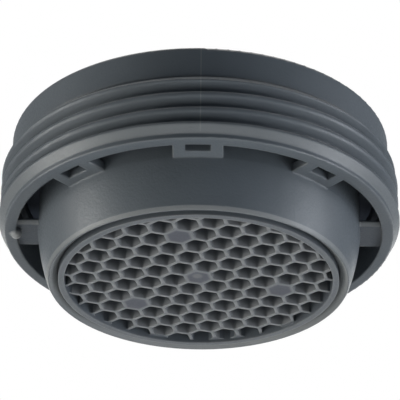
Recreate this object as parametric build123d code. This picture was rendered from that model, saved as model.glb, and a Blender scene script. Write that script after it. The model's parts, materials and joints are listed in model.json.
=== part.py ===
from build123d import *
import os
from math import cos, hypot, radians, sin, sqrt, tan

# A tap aerator that screws up into the end of a spout, with its outlet facing down.
# The origin is on the axis at the outlet face, and +Z runs up the axis to the inlet.
# The front, with a windowed bridge at its middle, is -Y. Sizes are in millimetres and degrees.

# Thread
thread_diameter = 23.92
thread_depth = 0.57
thread_pitch = 1.0
thread_crest_flat = 0.13
thread_crest_chamfer_width = 0.09
thread_crest_chamfer_depth = 0.055
thread_flank_angle = 30.0
thread_root_sink = 0.08
thread_start_sink = 0.075
thread_front_crest_rise = 0.87

# Flange and collar of the threaded ring
flange_overhang = 0.04
flange_edge_height = 0.12
flange_chamfer_width = 0.37
flange_chamfer_height = 0.45
collar_height = 1.95
collar_overhang = 0.04
collar_wall = 0.47
collar_edge_radius = 0.2
ring_wall = 0.82
seal_recess_depth = 1.2

# Ledge, bridges and air slots
ledge_height = 3.0
ledge_width = 0.71
ledge_drop = 0.3
ledge_edge_radius = 0.08
slot_width = 1.29
slot_wall_height = 2.3
bridge_thickness = 0.55
bridge_width = 2.85
bridge_root_overlap = 0.3
open_bridge_angles = (-42.0, 0.0, 42.0, 138.0, 180.0, 222.0)
closed_bridge_angles = (-90.0, 90.0)
closed_bridge_recess = 0.25
open_bridge_bevel = 0.05
closed_bridge_bevel = 0.2
window_width = 1.42
window_depth = 0.7
gate_mark_angle = -86.8
gate_mark_radius = 0.34
gate_mark_length = 0.4
gate_mark_tip_radius = 0.12

# Barrel
barrel_taper = 0.6
barrel_swell = 0.08
lip_chamfer_width = 0.14
lip_chamfer_height = 0.23
lip_flat = 0.05
mouth_slope_width = 0.48
mouth_slope_height = 0.42
chamber_step = 0.45
chamber_height = 2.0
air_notch_count = 8
air_notch_width = 3.0
air_notch_depth = 0.9

# Honeycomb outlet insert
insert_clearance = 0.04
insert_height = 2.4
insert_rim_wall = 0.37
face_recess = 0.22
cell_pitch = 1.475
cell_wall = 0.18
cell_corner_radius = 0.2
cell_turn = -12.1
cell_shift_y = -0.37
smallest_cell_area = 0.12
blind_cell_step_count = 2

# Mesh screens and the ring between them
screen_thickness = 0.2
screen_clearance = 0.05
screen_border = 0.5
mesh_pitch = 1.36
mesh_wire = 0.4
spacer_height = 1.0
spacer_wall = 0.8

# Jet plate
jet_plate_clearance = 0.05
jet_floor = 0.8
jet_wall = 0.85
jet_seat_width = 0.5
jet_seat_height = 0.6
jet_hole_diameter = 0.8
jet_inner_share = 0.4
jet_inner_count = 12
jet_outer_share = 0.75
jet_outer_count = 20

# Flow regulator
regulator_clearance = 0.05
regulator_thickness = 0.8
groove_inner_share = 0.33
groove_outer_share = 0.54
groove_depth = 0.45
regulator_slot_count = 8
regulator_slot_diameter = 0.8
soft_ring_section = 1.2
soft_ring_clearance = 0.05

# Inlet strainer and sealing washer
strainer_clearance = 0.05
strainer_rim_height = 0.6
strainer_rim_overlap = 1.0
strainer_shell = 0.5
strainer_rise = 1.5
sieve_pitch = 1.45
sieve_bar = 0.45
washer_clearance = 0.05
washer_thickness = 0.8
washer_width = 1.0
washer_inner_gap = 0.25

# Length of a cutting tool that must pass right through a wall
through = 6.0

# Heights that follow from the sizes above, from the outlet face upwards
flange_bottom_height = ledge_height + ledge_drop
flange_edge_bottom = flange_bottom_height + flange_chamfer_height
flange_edge_top = flange_edge_bottom + flange_edge_height
bridge_top_height = ledge_height + bridge_thickness
slot_top_height = ledge_height + slot_wall_height
lower_screen_height = insert_height
spacer_bottom_height = lower_screen_height + screen_thickness
upper_screen_height = spacer_bottom_height + spacer_height
chamber_floor_height = upper_screen_height + screen_thickness
barrel_top_height = chamber_floor_height + chamber_height
regulator_seat_height = barrel_top_height + jet_floor + jet_seat_height
strainer_seat_height = regulator_seat_height + regulator_thickness
washer_seat_height = strainer_seat_height + strainer_rim_height
collar_top_height = strainer_seat_height + seal_recess_depth
lead_in_top_height = collar_top_height - collar_height
thread_front_crest_height = flange_edge_top + thread_front_crest_rise

# Radii that follow from the sizes above, from the thread inwards
thread_radius = thread_diameter / 2
core_radius = thread_radius - thread_depth
collar_radius = core_radius + collar_overhang
flange_radius = thread_radius + flange_overhang
ledge_outer_radius = flange_radius - flange_chamfer_width
slot_outer_radius = ledge_outer_radius - ledge_width
ring_bore_radius = core_radius - ring_wall
seal_recess_radius = collar_radius - collar_wall
barrel_radius = slot_outer_radius - slot_width
lip_radius = barrel_radius - barrel_taper
lip_outer_radius = lip_radius - lip_chamfer_width
lip_inner_radius = lip_outer_radius - lip_flat
mouth_radius = lip_inner_radius - mouth_slope_width
chamber_radius = mouth_radius - chamber_step
insert_radius = mouth_radius - insert_clearance
cell_field_radius = insert_radius - insert_rim_wall
screen_radius = mouth_radius - screen_clearance
jet_plate_radius = ring_bore_radius - jet_plate_clearance
jet_cup_radius = jet_plate_radius - jet_wall
regulator_radius = jet_cup_radius - regulator_clearance
groove_inner_radius = regulator_radius * groove_inner_share
groove_outer_radius = regulator_radius * groove_outer_share
strainer_radius = seal_recess_radius - strainer_clearance
washer_outer_radius = seal_recess_radius - washer_clearance
washer_inner_radius = washer_outer_radius - washer_width
dome_radius = washer_inner_radius - washer_inner_gap
sieve_radius = dome_radius - strainer_rim_overlap


def turned(points):
    """A solid of revolution about Z from a closed outline of (radius, height) points."""
    outline = Polyline(*points, close=True)
    return turned_face(make_face(outline))


def turned_face(face):
    """A solid of revolution about Z from a face drawn as (radius, height)."""
    return revolve(Plane.XZ * face, Axis.Z)


def toward(angle):
    """A frame on the axis whose X points outwards, at an angle from the front towards +X."""
    return Rot(0, 0, angle - 90)


def make_ring_body():
    """The ring under the thread: ledge, chamfered flange, core, collar and stepped bore."""
    flank = (flange_radius - core_radius) * tan(radians(thread_flank_angle))
    outline = make_face(
        Polyline(
            (slot_outer_radius, ledge_height),
            (ledge_outer_radius, ledge_height),
            (ledge_outer_radius, flange_bottom_height),
            (flange_radius, flange_edge_bottom),
            (flange_radius, flange_edge_top),
            (core_radius, flange_edge_top + flank),
            (core_radius, lead_in_top_height),
            (collar_radius, lead_in_top_height),
            (collar_radius, collar_top_height),
            (seal_recess_radius, collar_top_height),
            (seal_recess_radius, strainer_seat_height),
            (ring_bore_radius, strainer_seat_height),
            (ring_bore_radius, slot_top_height),
            (slot_outer_radius, slot_top_height),
            close=True,
        )
    )
    ledge_edge = outline.vertices().sort_by_distance((ledge_outer_radius, ledge_height))[0]
    outline = fillet(ledge_edge, ledge_edge_radius)
    collar_edge = outline.vertices().sort_by_distance((collar_radius, collar_top_height))[0]
    outline = fillet(collar_edge, collar_edge_radius)
    return turned_face(outline)


def make_thread():
    """The right-hand ridge, buried in the flange at its start and cut by the lead-in cone at its end."""
    root_radius = core_radius - thread_root_sink
    crest = thread_radius - root_radius
    shoulder = crest - thread_crest_chamfer_depth
    crest_half = thread_crest_flat / 2
    shoulder_half = crest_half + thread_crest_chamfer_width
    root_half = shoulder_half + shoulder * tan(radians(thread_flank_angle))
    start_height = flange_edge_top - thread_start_sink
    climb = lead_in_top_height + root_half - start_height
    turn_to_front = 360.0 * (thread_front_crest_height - start_height) / thread_pitch
    path = Helix(pitch=thread_pitch, height=climb, radius=root_radius)
    section = Polyline(
        (0, -root_half),
        (shoulder, -shoulder_half),
        (crest, -crest_half),
        (crest, crest_half),
        (shoulder, shoulder_half),
        (0, root_half),
        close=True,
    )
    start = Plane(origin=path @ 0, x_dir=(1, 0, 0), z_dir=path % 0)
    ridge = sweep(start * make_face(section), path=path, is_frenet=True)
    ridge = Pos(0, 0, start_height) * Rot(0, 0, -90 - turn_to_front) * ridge
    reach = flange_radius + thread_pitch
    cone = turned(
        (
            (ring_bore_radius, ledge_height),
            (reach, ledge_height),
            (reach, lead_in_top_height + core_radius - reach),
            (ring_bore_radius, lead_in_top_height + core_radius - ring_bore_radius),
        )
    )
    return ridge & cone


def make_bridge(angle, recess, bevel):
    """A short bridge from the ledge to the barrel, its lower face set back and bevelled at its sides."""
    inner = barrel_radius - bridge_root_overlap
    outer = slot_outer_radius + bridge_root_overlap
    height = bridge_thickness - recess
    bar = Box(outer - inner, bridge_width, height, align=(Align.MIN, Align.CENTER, Align.MAX))
    bar = chamfer(bar.edges().filter_by(Axis.X).group_by(Axis.Z)[0], bevel)
    return toward(angle) * Pos(inner, 0, bridge_top_height) * bar


def make_window(angle):
    """The rectangular window at the outer end of an open bridge."""
    middle_out = (Align.MAX, Align.CENTER, Align.CENTER)
    hole = Box(window_depth, window_width, 2 * bridge_thickness, align=middle_out)
    return toward(angle) * Pos(slot_outer_radius, 0, ledge_height) * hole


def make_gate_mark():
    """The drop-shaped stub left by the mould's gate, at the ledge's inner edge."""
    upright = (Align.CENTER, Align.CENTER, Align.MIN)
    tail = Cone(gate_mark_radius, gate_mark_tip_radius, gate_mark_length, align=upright)
    drop = Sphere(gate_mark_radius) + Rot(0, 90, 0) * tail
    return toward(gate_mark_angle) * Pos(slot_outer_radius, 0, ledge_height) * drop


def make_barrel():
    """The tube that holds the outlet insert, with a chamfered lip and a notched upper end."""
    lip_shoulder = (lip_radius, lip_chamfer_height)
    middle = (
        (barrel_radius + lip_radius) / 2 + barrel_swell,
        (ledge_height + lip_chamfer_height) / 2,
    )
    wall = ThreePointArc(lip_shoulder, middle, (barrel_radius, ledge_height))
    rest = Polyline(
        (barrel_radius, ledge_height),
        (barrel_radius, barrel_top_height),
        (chamber_radius, barrel_top_height),
        (chamber_radius, chamber_floor_height),
        (mouth_radius, chamber_floor_height),
        (mouth_radius, mouth_slope_height),
        (lip_inner_radius, 0),
        (lip_outer_radius, 0),
        lip_shoulder,
    )
    tube = turned_face(make_face([wall, rest]))
    outwards = (Align.MIN, Align.CENTER, Align.CENTER)
    notch = Box(barrel_radius, air_notch_width, 2 * air_notch_depth, align=outwards)
    notches = [place * Pos(0, 0, barrel_top_height) * notch for place in PolarLocations(0, air_notch_count)]
    return tube - notches


def make_housing():
    """The threaded ring, bridges and barrel, moulded in one piece."""
    body = make_ring_body() + make_barrel()
    body += [make_bridge(angle, 0.0, open_bridge_bevel) for angle in open_bridge_angles]
    body += [make_bridge(angle, closed_bridge_recess, closed_bridge_bevel) for angle in closed_bridge_angles]
    body -= [make_window(angle) for angle in open_bridge_angles]
    body += make_gate_mark()
    return body + make_thread()


def cell_centres():
    """Lattice steps and centres of the cells that reach into the insert's mouth."""
    across = (cell_pitch * cos(radians(cell_turn)), cell_pitch * sin(radians(cell_turn)))
    slant = (cell_pitch * cos(radians(cell_turn + 60)), cell_pitch * sin(radians(cell_turn + 60)))
    reach = int(2 * cell_field_radius / cell_pitch) + 1
    for i in range(-reach, reach + 1):
        for j in range(-reach, reach + 1):
            x = i * across[0] + j * slant[0]
            y = i * across[1] + j * slant[1] + cell_shift_y
            if hypot(x, y) < cell_field_radius + cell_pitch:
                yield (i, j), (x, y)


def make_honeycomb_insert():
    """The outlet straightener: hexagonal cells in a plain rim, a few of them blind."""
    field = Circle(cell_field_radius)
    side = (cell_pitch - cell_wall) / sqrt(3)
    step_count = blind_cell_step_count
    blind_cells = (
        (0, 0),
        (step_count, step_count),
        (-2 * step_count, step_count),
        (step_count, -2 * step_count),
    )
    hexagon = RegularPolygon(side, 6, rotation=cell_turn + 30)
    cell = fillet(hexagon.vertices(), cell_corner_radius)
    openings = []
    for step, (x, y) in cell_centres():
        if step in blind_cells:
            continue
        opening = field & (Pos(x, y) * cell)
        if opening and opening.area > smallest_cell_area:
            openings.append(opening)
    comb = extrude(field - openings, insert_height - face_recess)
    rim = Circle(insert_radius) - field
    return extrude(rim, insert_height) + Pos(0, 0, face_recess) * comb


def grid_places(pitch, clear_radius):
    """Places of a square grid whose cells lie inside a circle."""
    reach = int(clear_radius / pitch)
    for i in range(-reach, reach + 1):
        for j in range(-reach, reach + 1):
            corner = hypot((abs(i) + 0.5) * pitch, (abs(j) + 0.5) * pitch)
            if corner < clear_radius:
                yield Pos(i * pitch, j * pitch)


def make_screen(height):
    """A disc of woven wire, drawn as one sheet with square gaps."""
    gap = Rectangle(mesh_pitch - mesh_wire, mesh_pitch - mesh_wire)
    gaps = [place * gap for place in grid_places(mesh_pitch, screen_radius - screen_border)]
    return Pos(0, 0, height) * extrude(Circle(screen_radius) - gaps, screen_thickness)


def make_screen_spacer():
    """The plain ring that keeps the two screens apart."""
    ring = Circle(screen_radius) - Circle(screen_radius - spacer_wall)
    return Pos(0, 0, spacer_bottom_height) * extrude(ring, spacer_height)


def make_jet_plate():
    """A shallow cup with jet holes in its floor, standing on the barrel's upper end."""
    seat_radius = jet_cup_radius - jet_seat_width
    floor_top = barrel_top_height + jet_floor
    cup = turned(
        (
            (0, barrel_top_height),
            (jet_plate_radius, barrel_top_height),
            (jet_plate_radius, strainer_seat_height),
            (jet_cup_radius, strainer_seat_height),
            (jet_cup_radius, regulator_seat_height),
            (seat_radius, regulator_seat_height),
            (seat_radius, floor_top),
            (0, floor_top),
        )
    )
    hole = Cylinder(jet_hole_diameter / 2, through)
    places = [*PolarLocations(jet_inner_share * chamber_radius, jet_inner_count)]
    places += [*PolarLocations(jet_outer_share * chamber_radius, jet_outer_count)]
    return cup - [Pos(0, 0, barrel_top_height) * place * hole for place in places]


def make_regulator_body():
    """The regulator's disc, with a groove for the soft ring and a round slot at each of its ribs."""
    disc = extrude(Circle(regulator_radius), regulator_thickness)
    groove = extrude(Circle(groove_outer_radius) - Circle(groove_inner_radius), -groove_depth)
    slot = Cylinder(regulator_slot_diameter / 2, through)
    disc -= Pos(0, 0, regulator_thickness) * groove
    disc -= [place * slot for place in PolarLocations(groove_inner_radius, regulator_slot_count)]
    return Pos(0, 0, regulator_seat_height) * disc


def make_regulator_ring():
    """The soft ring that lies in the regulator's groove against its outer wall."""
    section = soft_ring_section / 2
    centre = groove_outer_radius - soft_ring_clearance - section
    floor = regulator_seat_height + regulator_thickness - groove_depth
    return Pos(0, 0, floor + section) * Torus(centre, section)


def make_inlet_strainer():
    """The domed sieve at the inlet, on a flat rim."""
    sphere_radius = (dome_radius ** 2 + strainer_rise ** 2) / (2 * strainer_rise)
    top = washer_seat_height + strainer_rise
    shell = Sphere(sphere_radius) - Sphere(sphere_radius - strainer_shell)
    column = Pos(0, 0, washer_seat_height - strainer_shell) * extrude(Circle(dome_radius), 2 * strainer_rise)
    dome = (Pos(0, 0, top - sphere_radius) * shell) & column
    rim = extrude(Circle(strainer_radius) - Circle(dome_radius - strainer_rim_overlap), strainer_rim_height)
    sieve = dome + Pos(0, 0, strainer_seat_height) * rim
    hole = Box(sieve_pitch - sieve_bar, sieve_pitch - sieve_bar, through)
    return sieve - [Pos(0, 0, top) * place * hole for place in grid_places(sieve_pitch, sieve_radius)]


def make_seal_washer():
    """The flat washer that seals against the shoulder inside the spout."""
    ring = Circle(washer_outer_radius) - Circle(washer_inner_radius)
    return Pos(0, 0, washer_seat_height) * extrude(ring, washer_thickness)


pieces = {
    "housing": make_housing(),
    "honeycomb_insert": make_honeycomb_insert(),
    "lower_screen": make_screen(lower_screen_height),
    "screen_spacer": make_screen_spacer(),
    "upper_screen": make_screen(upper_screen_height),
    "jet_plate": make_jet_plate(),
    "regulator_body": make_regulator_body(),
    "regulator_ring": make_regulator_ring(),
    "inlet_strainer": make_inlet_strainer(),
    "seal_washer": make_seal_washer(),
}

os.makedirs("parts", exist_ok=True)
for name, piece in pieces.items():
    export_step(piece, f"parts/{name}.step")
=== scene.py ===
import json
from math import cos, radians, sin

import bpy
from mathutils import Matrix, Vector

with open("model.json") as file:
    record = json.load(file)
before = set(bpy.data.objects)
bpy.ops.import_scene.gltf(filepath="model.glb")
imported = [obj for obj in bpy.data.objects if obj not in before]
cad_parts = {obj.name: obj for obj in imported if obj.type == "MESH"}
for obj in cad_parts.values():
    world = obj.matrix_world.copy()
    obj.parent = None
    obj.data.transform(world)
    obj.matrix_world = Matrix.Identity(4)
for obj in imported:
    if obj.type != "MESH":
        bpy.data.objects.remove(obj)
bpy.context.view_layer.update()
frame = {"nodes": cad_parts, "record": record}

nodes = frame["nodes"]
scene = bpy.context.scene
MM = 0.001


# Places on the part, in millimetres and degrees, from the middle of its outlet end

HEXAGON_STEP = 60.0
CELL_PITCH = 1.475
CELL_TURN = -12.1
CELL_SHIFT_Y = -0.37
CLOSED_CELLS = ((0, 0), (2, 2), (-4, 2), (2, -4))
COMB_FACE_TOP = 0.24
COMB_FADE_TOP = 0.95
COMB_RADIUS = 7.8
COMB_GATE = (-0.06, -0.55, 0.2)
LIP_CHAMFER_TOP = 1.0
FLANGE_CHAMFER_TOP = 3.8
SOLID_BRIDGE_FACE = (3.21, 3.28)
SEAM_START = 3.4
SEAM_ANGLE = 0.65
GATE_STUB = (-10.85, -0.61, 2.85)


# Tones, with a darker and a lighter one for each material

HOUSING_TONES = ((0.080, 0.092, 0.103), (0.089, 0.102, 0.114))
INSERT_TONES = ((0.073, 0.083, 0.094), (0.081, 0.092, 0.104))
INNER_TONES = ((0.080, 0.098, 0.135), (0.090, 0.110, 0.150))
STRAINER_TONES = ((0.300, 0.315, 0.330), (0.350, 0.365, 0.380))
RUBBER_TONES = ((0.020, 0.020, 0.021), (0.030, 0.030, 0.031))
STEEL_TONES = ((0.42, 0.43, 0.44), (0.62, 0.63, 0.64))
FLOOR_TONES = ((0.78, 0.78, 0.78), (0.82, 0.82, 0.82))


# Tones of the marks on the housing and the insert; the edge, stub, mouth and rib tones are painted
# highlights and painted light, and the bridge face tone is painted shade

PAINTED_EDGE_HIGHLIGHT = (0.200, 0.205, 0.200)
PALE_SEAM = (0.150, 0.160, 0.165)
PAINTED_STUB_HIGHLIGHT = (0.220, 0.225, 0.225)
PAINTED_SHADE_ON_BRIDGE = (0.042, 0.051, 0.063)
PAINTED_LIGHT_IN_MOUTHS = (0.240, 0.245, 0.250)
PAINTED_RIB_HIGHLIGHT = (0.215, 0.221, 0.224)
CLOSED_TONE = (0.053, 0.057, 0.073)
PALE_SPOT = (0.140, 0.146, 0.150)


# Surface of the plastics and the wire, scales in cycles per millimetre

TONE_SCALE = 0.35
GRAIN_SCALE = 7.0
GRAIN_HEIGHT = 0.02
NOISE_SPREAD = (0.3, 0.7)
ROUGHNESS_SPREAD = (-0.05, 0.07)
PLASTIC_SHINE = 0.45
STREAK_SCALE = 2.0
STEEL_ROUGHNESS = 0.32
EDGE_SAMPLES = 6
THIN_WALL_SAMPLES = 8


# Limits of the masks, on scales from zero to one

EDGE_AGREEMENT = (0.70, 0.995)
CHAMFER_STEEP = (0.35, 0.45)
CHAMFER_FLAT = (0.80, 0.86)
FLAT_UNDERSIDE = 0.95
THIN_WALL = (0.25, 0.75)
SEAM_CORE = 0.4


# Sockets of a mix of two colours, whose names are shared with other sockets

MIX_FACTOR = 0
MIX_FIRST = 6
MIX_SECOND = 7
MIX_RESULT = 2


# Steps that the materials are put together from

def new_material(name):
    """An empty node material with its Principled shader."""
    material = bpy.data.materials.new(name)
    material.use_nodes = True
    return material, material.node_tree, material.node_tree.nodes["Principled BSDF"]


def add(tree, kind, **values):
    """A shader node with its input sockets and settings filled in."""
    node = tree.nodes.new(kind)
    for key, value in values.items():
        if key in node.inputs:
            node.inputs[key].default_value = value
        else:
            setattr(node, key, value)
    return node


def noise(tree, place, scale, detail=3.0):
    """Noise in the part's own space, scale in cycles per millimetre."""
    node = add(tree, "ShaderNodeTexNoise", Scale=scale / MM, Detail=detail)
    tree.links.new(place, node.inputs["Vector"])
    return node.outputs["Fac"]


def two_tone(tree, source, tones, limits=(0.0, 1.0)):
    """A colour that runs from a first tone to a second as a value crosses its limits."""
    ramp = add(tree, "ShaderNodeValToRGB")
    for stop, position, tone in zip(ramp.color_ramp.elements, limits, tones):
        stop.position = position
        stop.color = (*tone, 1)
    tree.links.new(source, ramp.inputs["Fac"])
    return ramp.outputs["Color"]


def tint(tree, color, mask, other):
    """A colour that turns into another where a mask is one."""
    node = add(tree, "ShaderNodeMix", data_type="RGBA")
    tree.links.new(mask, node.inputs[MIX_FACTOR])
    tree.links.new(color, node.inputs[MIX_FIRST])
    node.inputs[MIX_SECOND].default_value = (*other, 1)
    return node.outputs[MIX_RESULT]


def value_range(tree, source, low, high, start, end):
    """A value moved softly from one range to another and held inside it."""
    node = add(tree, "ShaderNodeMapRange", interpolation_type="SMOOTHSTEP")
    for key, number in (("From Min", low), ("From Max", high), ("To Min", start), ("To Max", end)):
        node.inputs[key].default_value = number
    tree.links.new(source, node.inputs["Value"])
    return node.outputs["Result"]


def rising(tree, source, low, high):
    """Zero under a low limit and one over a high limit."""
    return value_range(tree, source, low, high, 0.0, 1.0)


def falling(tree, source, low, high):
    """One under a low limit and zero over a high limit."""
    return value_range(tree, source, low, high, 1.0, 0.0)


def compute(tree, operation, *items):
    """One arithmetic step on values or numbers."""
    node = add(tree, "ShaderNodeMath", operation=operation)
    for socket, item in zip(node.inputs, items):
        if isinstance(item, (int, float)):
            socket.default_value = item
        else:
            tree.links.new(item, socket)
    return node.outputs["Value"]


def product(tree, first, *others):
    """Values or numbers multiplied together."""
    for other in others:
        first = compute(tree, "MULTIPLY", first, other)
    return first


def share_along(tree, vector, direction):
    """How far a vector reaches along a direction."""
    node = add(tree, "ShaderNodeVectorMath", operation="DOT_PRODUCT")
    tree.links.new(vector, node.inputs[0])
    node.inputs[1].default_value = direction
    return node.outputs["Value"]


def level_direction(angle):
    """A direction in the plane of the outlet, at an angle in degrees from +X."""
    return cos(radians(angle)), sin(radians(angle)), 0


def facing_down(tree):
    """How far the true surface faces the outlet side, from minus one to one."""
    surface = add(tree, "ShaderNodeNewGeometry")
    return share_along(tree, surface.outputs["Normal"], (0, 0, -1))


def coordinate(tree, place, axis):
    """One coordinate of the shaded place."""
    axes = add(tree, "ShaderNodeSeparateXYZ")
    tree.links.new(place, axes.inputs["Vector"])
    return axes.outputs[axis]


def above(tree, place, lowest):
    """One above a height and zero below it."""
    return compute(tree, "GREATER_THAN", coordinate(tree, place, "Z"), lowest * MM)


def below(tree, place, highest):
    """One below a height and zero above it."""
    return compute(tree, "LESS_THAN", coordinate(tree, place, "Z"), highest * MM)


def rounded_normal(tree, radius):
    """The direction of the surface with its sharp edges rounded off."""
    edges = add(tree, "ShaderNodeBevel", samples=EDGE_SAMPLES, Radius=radius * MM)
    return edges.outputs["Normal"]


# Masks that say where a mark lies, with sizes in millimetres

def spot_mask(tree, place, centre, inner, outer):
    """One inside a small ball around a point, and zero outside."""
    far = add(tree, "ShaderNodeVectorMath", operation="DISTANCE")
    tree.links.new(place, far.inputs[0])
    far.inputs[1].default_value = [c * MM for c in centre]
    return falling(tree, far.outputs["Value"], inner * MM, outer * MM)


def seam_mask(tree, place, angle, width, lowest):
    """A fine line up the outside, in the plane through the axis at an angle from the front."""
    off = compute(tree, "ABSOLUTE", share_along(tree, place, level_direction(angle)))
    line = falling(tree, off, SEAM_CORE * width * MM, width * MM)
    return product(tree, line, above(tree, place, lowest))


def edge_mask(tree, place, radius):
    """One along sharp edges, from the gap between the rounded and the true surface, at any place."""
    surface = add(tree, "ShaderNodeNewGeometry")
    agree = add(tree, "ShaderNodeVectorMath", operation="DOT_PRODUCT")
    tree.links.new(rounded_normal(tree, radius), agree.inputs[0])
    tree.links.new(surface.outputs["Normal"], agree.inputs[1])
    return falling(tree, agree.outputs["Value"], *EDGE_AGREEMENT)


def slope_mask(tree, place, highest):
    """One on downward chamfers below a height, and zero on walls and on flat undersides."""
    down = facing_down(tree)
    tilted = rising(tree, down, *CHAMFER_STEEP)
    not_flat = falling(tree, down, *CHAMFER_FLAT)
    return product(tree, tilted, not_flat, below(tree, place, highest))


def underside_mask(tree, place, lowest, highest):
    """One on flat undersides between two heights, and zero elsewhere."""
    flat = compute(tree, "GREATER_THAN", facing_down(tree), FLAT_UNDERSIDE)
    return product(tree, above(tree, place, lowest), below(tree, place, highest), flat)


def thin_mask(tree, place, reach, highest):
    """One below a height on the edges of thin walls, where little material lies behind the surface."""
    behind = add(
        tree, "ShaderNodeAmbientOcclusion", samples=THIN_WALL_SAMPLES, inside=True, Distance=reach * MM
    )
    thin = falling(tree, behind.outputs["AO"], *THIN_WALL)
    return product(tree, thin, below(tree, place, highest))


def depth_mask(tree, place, mouth, deep, within):
    """One just above a height, fading to zero further up, and zero beyond a radius from the axis."""
    fade = falling(tree, coordinate(tree, place, "Z"), mouth * MM, deep * MM)
    squares = [compute(tree, "POWER", coordinate(tree, place, axis), 2.0) for axis in ("X", "Y")]
    radius = compute(tree, "SQRT", compute(tree, "ADD", *squares))
    inside = compute(tree, "LESS_THAN", radius, within * MM)
    return product(tree, fade, above(tree, place, mouth), inside)


def hexagon_mask(tree, place, centre, half_width, fade, highest):
    """One inside a honeycomb cell's outline below a height, and zero outside."""
    from_centre = add(tree, "ShaderNodeVectorMath", operation="SUBTRACT")
    tree.links.new(place, from_centre.inputs[0])
    from_centre.inputs[1].default_value = [c * MM for c in centre]
    widest = 0.0
    for step in range(3):
        side = level_direction(CELL_TURN + step * HEXAGON_STEP)
        off = compute(tree, "ABSOLUTE", share_along(tree, from_centre.outputs["Vector"], side))
        widest = compute(tree, "MAXIMUM", off, widest)
    inside = falling(tree, widest, (half_width - fade) * MM, (half_width + fade) * MM)
    return product(tree, inside, below(tree, place, highest))


def cell_centre(across, slant):
    """The place of a honeycomb cell, counted in steps along two rows from the middle cell."""
    row = Vector(level_direction(CELL_TURN))
    leaning_row = Vector(level_direction(CELL_TURN + HEXAGON_STEP))
    return CELL_PITCH * (across * row + slant * leaning_row) + Vector((0, CELL_SHIFT_Y, 0))


# Marks, each a change of tone where a mask is one; several are painted highlights and painted shade

def mark(make_mask, tone, strength, **sizes):
    """A mark's mask, its tone, how much of that tone shows, and the sizes of the mask."""
    return make_mask, tone, strength, sizes


def closed_cell_marks(tone, strength, half_width, fade):
    """The same mark on the face of each closed cell."""
    sizes = {"half_width": half_width, "fade": fade, "highest": COMB_FACE_TOP}
    centres = [cell_centre(*cell) for cell in CLOSED_CELLS]
    return [mark(hexagon_mask, tone, strength, centre=centre, **sizes) for centre in centres]


housing_marks = (
    # painted highlight: sharp edges and the downward chamfers of flange and lip are made lighter
    mark(edge_mask, PAINTED_EDGE_HIGHLIGHT, 0.2, radius=0.09),
    mark(slope_mask, PAINTED_EDGE_HIGHLIGHT, 0.27, highest=FLANGE_CHAMFER_TOP),
    mark(slope_mask, PAINTED_EDGE_HIGHLIGHT, 0.30, highest=LIP_CHAMFER_TOP),
    # painted shade: the set-back undersides of the solid bridges are darkened
    mark(underside_mask, PAINTED_SHADE_ON_BRIDGE, 0.85, lowest=SOLID_BRIDGE_FACE[0], highest=SOLID_BRIDGE_FACE[1]),
    mark(seam_mask, PALE_SEAM, 0.65, angle=SEAM_ANGLE, width=0.05, lowest=SEAM_START),
    # painted highlight: the gate stub is made paler, as where light catches it
    mark(spot_mask, PAINTED_STUB_HIGHLIGHT, 0.9, centre=GATE_STUB, inner=0.25, outer=0.45),
)
insert_marks = (
    # painted light: the cell walls are lighter just inside the mouths and fade darker further in
    mark(depth_mask, PAINTED_LIGHT_IN_MOUTHS, 0.7, mouth=COMB_FACE_TOP, deep=COMB_FADE_TOP, within=COMB_RADIUS),
    # painted highlight: the thin honeycomb ribs are made paler
    mark(thin_mask, PAINTED_RIB_HIGHLIGHT, 0.9, reach=0.35, highest=COMB_FACE_TOP),
    # painted highlight: the ribs around each closed cell are made paler
    *closed_cell_marks(PAINTED_RIB_HIGHLIGHT, 0.45, half_width=0.80, fade=0.05),
    *closed_cell_marks(CLOSED_TONE, 0.9, half_width=0.62, fade=0.08),
    mark(spot_mask, PALE_SPOT, 0.7, centre=COMB_GATE, inner=0.15, outer=0.40),
)


# Materials

def moulded_plastic(name, tones, roughness, grain, edge_round, marks=()):
    """Satin plastic or rubber with soft tone changes, a fine eroded grain, rounded edges and marks,
    some of them painted highlights and painted shade.
    """
    material, tree, shader = new_material(name)
    place = add(tree, "ShaderNodeTexCoord").outputs["Object"]
    color = two_tone(tree, noise(tree, place, TONE_SCALE), tones, NOISE_SPREAD)
    for make_mask, tone, strength, sizes in marks:
        mask = product(tree, make_mask(tree, place, **sizes), strength)
        color = tint(tree, color, mask, tone)
    tree.links.new(color, shader.inputs["Base Color"])
    speckle = noise(tree, place, GRAIN_SCALE, detail=4.0)
    smoothest, roughest = (roughness + change for change in ROUGHNESS_SPREAD)
    rough = value_range(tree, speckle, *NOISE_SPREAD, smoothest, roughest)
    tree.links.new(rough, shader.inputs["Roughness"])
    shader.inputs["Specular IOR Level"].default_value = PLASTIC_SHINE
    bump = add(tree, "ShaderNodeBump", Strength=grain, Distance=GRAIN_HEIGHT * MM)
    tree.links.new(speckle, bump.inputs["Height"])
    tree.links.new(rounded_normal(tree, edge_round), bump.inputs["Normal"])
    tree.links.new(bump.outputs["Normal"], shader.inputs["Normal"])
    return material


def woven_steel(name):
    """Bright wire with fine streaks along one direction."""
    material, tree, shader = new_material(name)
    place = add(tree, "ShaderNodeTexCoord").outputs["Object"]
    streak = add(tree, "ShaderNodeTexWave", Scale=STREAK_SCALE / MM, Distortion=2.0, Detail=2.0)
    tree.links.new(place, streak.inputs["Vector"])
    tree.links.new(two_tone(tree, streak.outputs["Fac"], STEEL_TONES), shader.inputs["Base Color"])
    shader.inputs["Metallic"].default_value = 1.0
    shader.inputs["Roughness"].default_value = STEEL_ROUGHNESS
    return material


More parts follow.
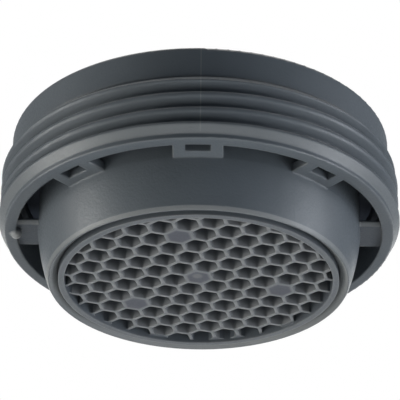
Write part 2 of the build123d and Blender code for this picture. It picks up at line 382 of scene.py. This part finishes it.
plastics = {
    "housing_plastic": dict(
        tones=HOUSING_TONES, roughness=0.42, grain=0.70, edge_round=0.19, marks=housing_marks
    ),
    "insert_plastic": dict(
        tones=INSERT_TONES, roughness=0.40, grain=0.20, edge_round=0.08, marks=insert_marks
    ),
    "inner_plastic": dict(tones=INNER_TONES, roughness=0.50, grain=0.20, edge_round=0.05),
    "strainer_plastic": dict(tones=STRAINER_TONES, roughness=0.42, grain=0.15, edge_round=0.06),
    "soft_rubber": dict(tones=RUBBER_TONES, roughness=0.60, grain=0.20, edge_round=0.05),
    "seal_rubber": dict(tones=RUBBER_TONES, roughness=0.62, grain=0.30, edge_round=0.08),
}
finishes = {name: moulded_plastic(name, **look) for name, look in plastics.items()}
finishes["mesh_steel"] = woven_steel("mesh_steel")
for part in frame["record"]["subparts"]:
    mesh = nodes[part["node"]].data
    mesh.materials.clear()
    mesh.materials.append(finishes[part["material_slot"]])


# Camera values, found from the photograph, in pixels, millimetres and degrees

IMAGE_SIZE = 400
FOCAL_PX = 2200.0
DISTANCE_MM = 130.2
LOOK_UP = 29.77
ROLL = 0.67
YAW = 0.65
ORIGIN_PX = (198.5, 283.73)
SENSOR_MM = 36.0
NEAREST_MM = 5.0


# Stage values, in metres

FLOOR_DROP = 0.50
FLOOR_SIZE = 3.0
FLOOR_GLOW = 1.2
FLOOR_ROUGHNESS = 0.9
FLOOR_SCALE = 4.0
FILL_COLOR = (0.60, 0.95, 1.40)
FILL_STRENGTH = 0.05
MIRRORED_WHITE = 0.2
ROOM_IN_FRONT = (-0.2, 0.8)
WARM = (1.0, 0.99, 0.95)
COOL = (0.94, 0.98, 1.04)
LAMP_AIM = Vector((0, 0, 0.004))


# Stage

def seen_directly_or_mirrored(tree, share):
    """One for camera rays and a share of one for rays that left a shiny or clear surface."""
    path = add(tree, "ShaderNodeLightPath").outputs
    mirrored = compute(tree, "MAXIMUM", path["Is Glossy Ray"], path["Is Transmission Ray"])
    return compute(tree, "MAXIMUM", path["Is Camera Ray"], product(tree, mirrored, share))


def stage_floor():
    """A plain pale floor well below the part, which is seen from underneath."""
    half = FLOOR_SIZE / 2
    corners = [(-half, -half, 0), (half, -half, 0), (half, half, 0), (-half, half, 0)]
    mesh = bpy.data.meshes.new("floor")
    mesh.from_pydata(corners, [], [(0, 1, 2, 3)])
    floor = bpy.data.objects.new("floor", mesh)
    floor.location = (0, 0, -FLOOR_DROP)
    scene.collection.objects.link(floor)
    material, tree, shader = new_material("pale_floor")
    place = add(tree, "ShaderNodeTexCoord").outputs["Object"]
    soft = add(tree, "ShaderNodeTexNoise", Scale=FLOOR_SCALE, Detail=2.0)
    tree.links.new(place, soft.inputs["Vector"])
    color = two_tone(tree, soft.outputs["Fac"], FLOOR_TONES)
    tree.links.new(color, shader.inputs["Base Color"])
    tree.links.new(color, shader.inputs["Emission Color"])
    shown = product(tree, seen_directly_or_mirrored(tree, MIRRORED_WHITE), FLOOR_GLOW)
    tree.links.new(shown, shader.inputs["Emission Strength"])
    shader.inputs["Roughness"].default_value = FLOOR_ROUGHNESS
    mesh.materials.append(material)


def studio_world():
    """White for the camera, dim white for shine except from the room in front, and a weak cool fill."""
    world = bpy.data.worlds.new("studio")
    scene.world = world
    world.use_nodes = True
    tree = world.node_tree
    tree.nodes.clear()
    white = add(tree, "ShaderNodeBackground", Color=(1, 1, 1, 1), Strength=1.0)
    fill = add(tree, "ShaderNodeBackground", Color=(*FILL_COLOR, 1), Strength=FILL_STRENGTH)
    mix = add(tree, "ShaderNodeMixShader")
    out = add(tree, "ShaderNodeOutputWorld")
    look = add(tree, "ShaderNodeTexCoord").outputs["Generated"]
    front = (0, -cos(radians(LOOK_UP)), -sin(radians(LOOK_UP)))
    dim = value_range(tree, share_along(tree, look, front), *ROOM_IN_FRONT, MIRRORED_WHITE, 0.0)
    tree.links.new(seen_directly_or_mirrored(tree, dim), mix.inputs["Fac"])
    tree.links.new(fill.outputs["Background"], mix.inputs[1])
    tree.links.new(white.outputs["Background"], mix.inputs[2])
    tree.links.new(mix.outputs["Shader"], out.inputs["Surface"])


def soft_box(name, place, width, height, power, color):
    """A rectangular lamp aimed at the middle of the part."""
    lamp = bpy.data.lights.new(name, "AREA")
    lamp.shape = "RECTANGLE"
    lamp.size = width
    lamp.size_y = height
    lamp.energy = power
    lamp.color = color
    holder = bpy.data.objects.new(name, lamp)
    holder.location = place
    aim = LAMP_AIM - Vector(place)
    holder.rotation_euler = aim.to_track_quat("-Z", "Y").to_euler()
    scene.collection.objects.link(holder)


stage_floor()
studio_world()
soft_box("left_box", (-0.30, -0.045, -0.04), width=0.10, height=0.26, power=0.62, color=WARM)
soft_box("right_box", (0.30, -0.045, -0.04), width=0.10, height=0.26, power=0.62, color=COOL)
soft_box("low_left_box", (-0.20, -0.03, -0.14), width=0.12, height=0.20, power=0.26, color=WARM)
soft_box("low_right_box", (0.20, -0.03, -0.14), width=0.12, height=0.20, power=0.25, color=COOL)
soft_box("low_front_box", (0.0, -0.12, -0.13), width=0.20, height=0.05, power=0.042, color=WARM)
soft_box("low_box", (0.0, 0.0, -0.15), width=0.16, height=0.06, power=0.05, color=WARM)
soft_box("top_box", (0.0, 0.04, 0.30), width=0.30, height=0.24, power=0.65, color=WARM)
soft_box("back_box", (0.0, 0.32, 0.04), width=0.40, height=0.26, power=0.50, color=WARM)


# Camera

def photo_camera():
    """A long lens below and in front of the part, so that the origin lands on its pixel."""
    lift = radians(LOOK_UP)
    roll = radians(ROLL)
    forward = Vector((0, cos(lift), sin(lift)))
    level = Vector((1, 0, 0))
    upright = Vector((0, -sin(lift), cos(lift)))
    across = cos(roll) * level + sin(roll) * upright
    upward = cos(roll) * upright - sin(roll) * level
    half = IMAGE_SIZE / 2
    shift_x = (ORIGIN_PX[0] - half) / FOCAL_PX * DISTANCE_MM
    shift_y = (half - ORIGIN_PX[1]) / FOCAL_PX * DISTANCE_MM
    centre = -(across * shift_x + upward * shift_y + forward * DISTANCE_MM) * MM
    pose = Matrix((across, upward, -forward)).transposed().to_4x4()
    pose.translation = centre
    lens = bpy.data.cameras.new("photo_camera")
    lens.sensor_width = SENSOR_MM
    lens.lens = FOCAL_PX / IMAGE_SIZE * SENSOR_MM
    lens.clip_start = NEAREST_MM * MM
    camera = bpy.data.objects.new("photo_camera", lens)
    camera.matrix_world = Matrix.Rotation(radians(YAW), 4, "Z") @ pose
    scene.collection.objects.link(camera)
    scene.camera = camera


photo_camera()
scene.view_settings.view_transform = "Standard"
